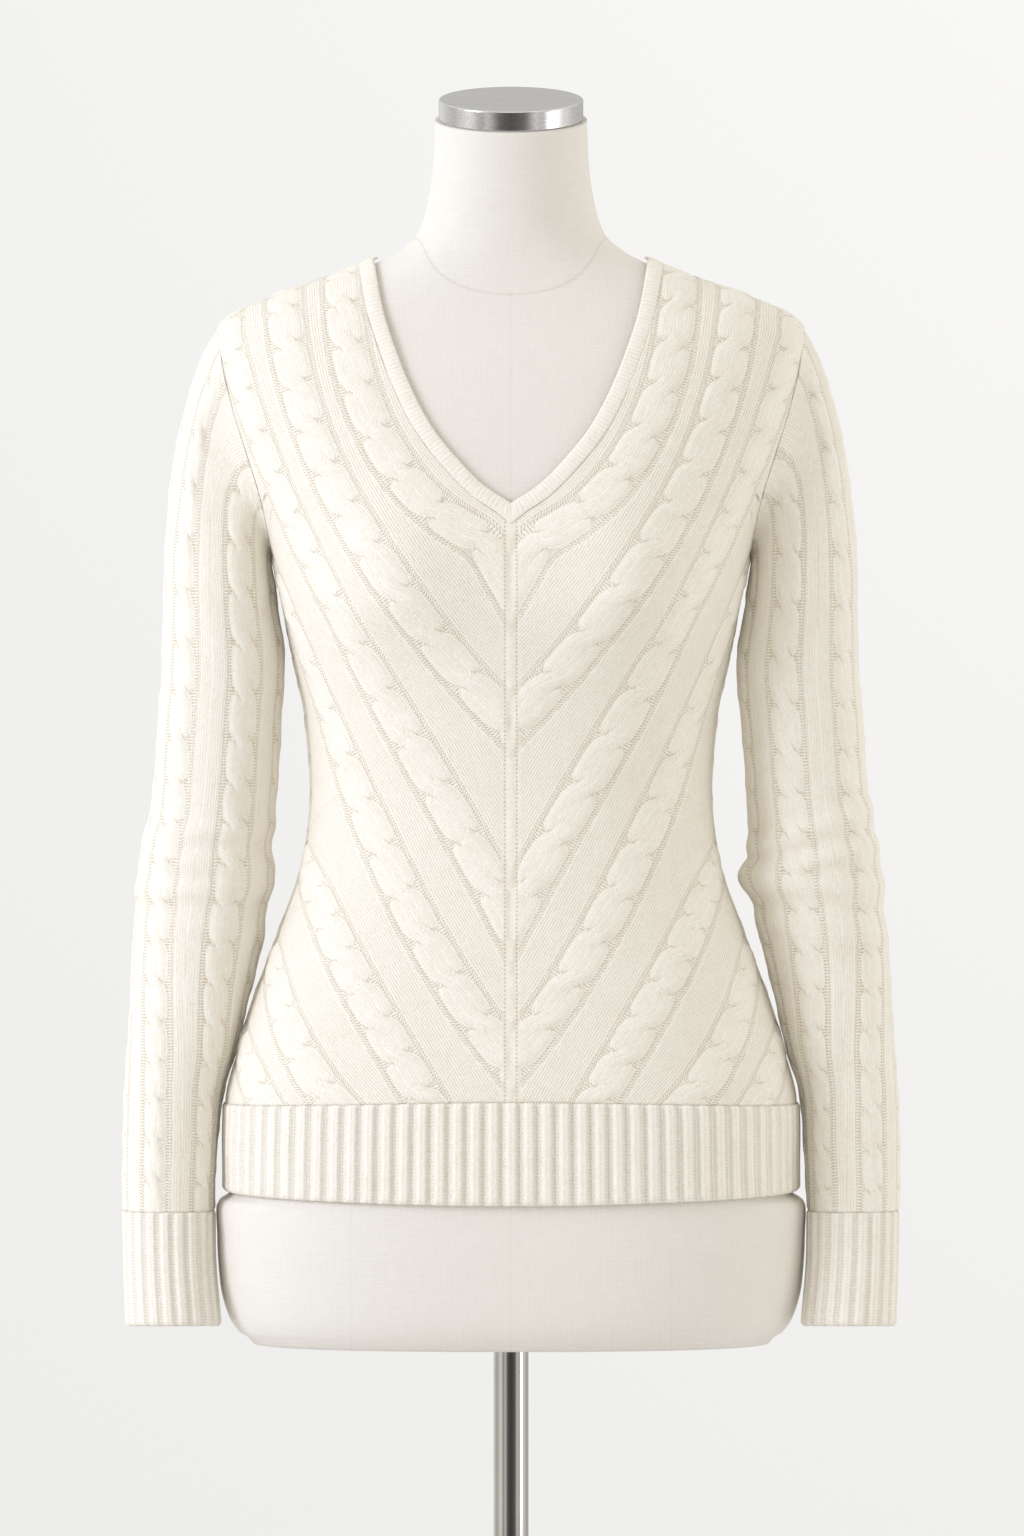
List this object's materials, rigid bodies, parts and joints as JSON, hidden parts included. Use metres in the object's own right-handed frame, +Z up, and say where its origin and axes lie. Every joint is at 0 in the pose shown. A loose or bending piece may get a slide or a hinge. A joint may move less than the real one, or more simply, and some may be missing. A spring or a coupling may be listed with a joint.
{
  "type": "cable knit sweater on dress form",
  "caption": "Close-fitting long-sleeved V-neck cable knit sweater with ribbed neckband, cuffs and hem, worn by a limbless linen dress form on a steel pole and round base.",
  "frame": {"origin": "middle of the base plate's underside, on the floor", "axes": "+Z up along the pole, -Y out of the sweater's front, +X towards the wearer's left"},
  "size_m": [0.4895, 0.344, 1.4919],
  "materials": {
    "cable_knit": "soft matte ivory cable knit",
    "rib_knit": "soft matte ivory rib knit",
    "linen": "matte fine-woven cream linen",
    "cap_steel": "circular brushed top and polished side",
    "pole_steel": "polished steel tube",
    "base_steel": "satin steel plate"
  },
  "bodies": {
    "root": {"front_panel": "cable_knit", "back_panel": "cable_knit", "sleeve_left": "cable_knit", "sleeve_right": "cable_knit", "cuff_left": "rib_knit", "cuff_right": "rib_knit", "hem_band": "rib_knit", "neckband": "rib_knit", "dress_form": "linen", "neck_cap": "cap_steel", "pole": "pole_steel", "base_collar": "pole_steel", "base_plate": "base_steel"}
  },
  "joints": []
}
